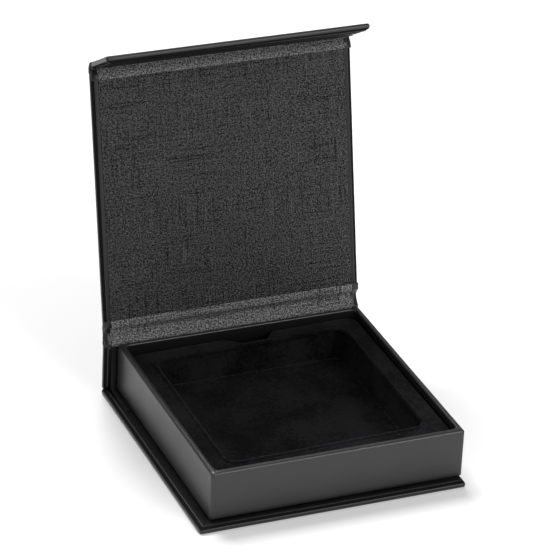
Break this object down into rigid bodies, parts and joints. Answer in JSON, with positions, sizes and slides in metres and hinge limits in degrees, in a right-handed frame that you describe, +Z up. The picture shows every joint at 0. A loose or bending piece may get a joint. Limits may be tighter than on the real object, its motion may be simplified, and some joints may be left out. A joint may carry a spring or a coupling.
{
  "type": "coin display case",
  "caption": "Book-style display case for a coin in a square capsule: magnetic front flap, hinged lid, tray with a flocked recess.",
  "frame": {"origin": "centre of the base's underside, on the surface that the case stands on", "axes": "+X to the right as seen from the flap side, +Y from the front to the spine, +Z up"},
  "size_m": [0.0714, 0.0873, 0.0958],
  "materials": {
    "black_paper": "satin black leather-grain paper",
    "black_linen": "black paper with a linen emboss",
    "greyboard": "raw grey board",
    "stay_paper": "brown gummed paper",
    "black_velvet": "black flock",
    "nickel_plate": "nickel plated"
  },
  "bodies": {
    "case": {"base_board": "greyboard", "base_wrap": "black_paper", "spine_board": "greyboard", "spine_wrap": "black_paper", "spine_liner": "black_linen", "tray_board": "greyboard", "tray_wrap": "black_paper", "corner_stay_front_left": "stay_paper", "corner_stay_front_right": "stay_paper", "corner_stay_back_right": "stay_paper", "corner_stay_back_left": "stay_paper", "tray_disc_left": "nickel_plate", "tray_disc_right": "nickel_plate", "velvet_insert": "black_velvet", "lid_hinge_paper": "black_paper", "lid_hinge_turn_in_left": "black_paper", "lid_hinge_turn_in_right": "black_paper", "lid_hinge_liner": "black_linen"},
    "lid": {"lid_board": "greyboard", "lid_wrap": "black_paper", "lid_liner": "black_linen", "flap_hinge_paper": "black_paper", "flap_hinge_turn_in_left": "black_paper", "flap_hinge_turn_in_right": "black_paper", "flap_hinge_liner": "black_linen"},
    "flap": {"flap_board": "greyboard", "flap_wrap": "black_paper", "flap_liner": "black_paper", "flap_magnet_left": "nickel_plate", "flap_magnet_right": "nickel_plate"}
  },
  "joints": [
    {"name": "lid_hinge", "type": "hinge", "parent": "case", "child": "lid", "pos_m": [0, 0.03622, 0.01756], "axis": [-1, 0, 0], "range_deg": [-102, 78], "deforming": ["lid_hinge_paper", "lid_hinge_turn_in_left", "lid_hinge_turn_in_right", "lid_hinge_liner"]},
    {"name": "flap_hinge", "type": "hinge", "parent": "lid", "child": "flap", "pos_m": [0, 0.05122, 0.08814], "axis": [-1, 0, 0], "range_deg": [-18, 72], "deforming": ["flap_hinge_paper", "flap_hinge_turn_in_left", "flap_hinge_turn_in_right", "flap_hinge_liner"]}
  ]
}
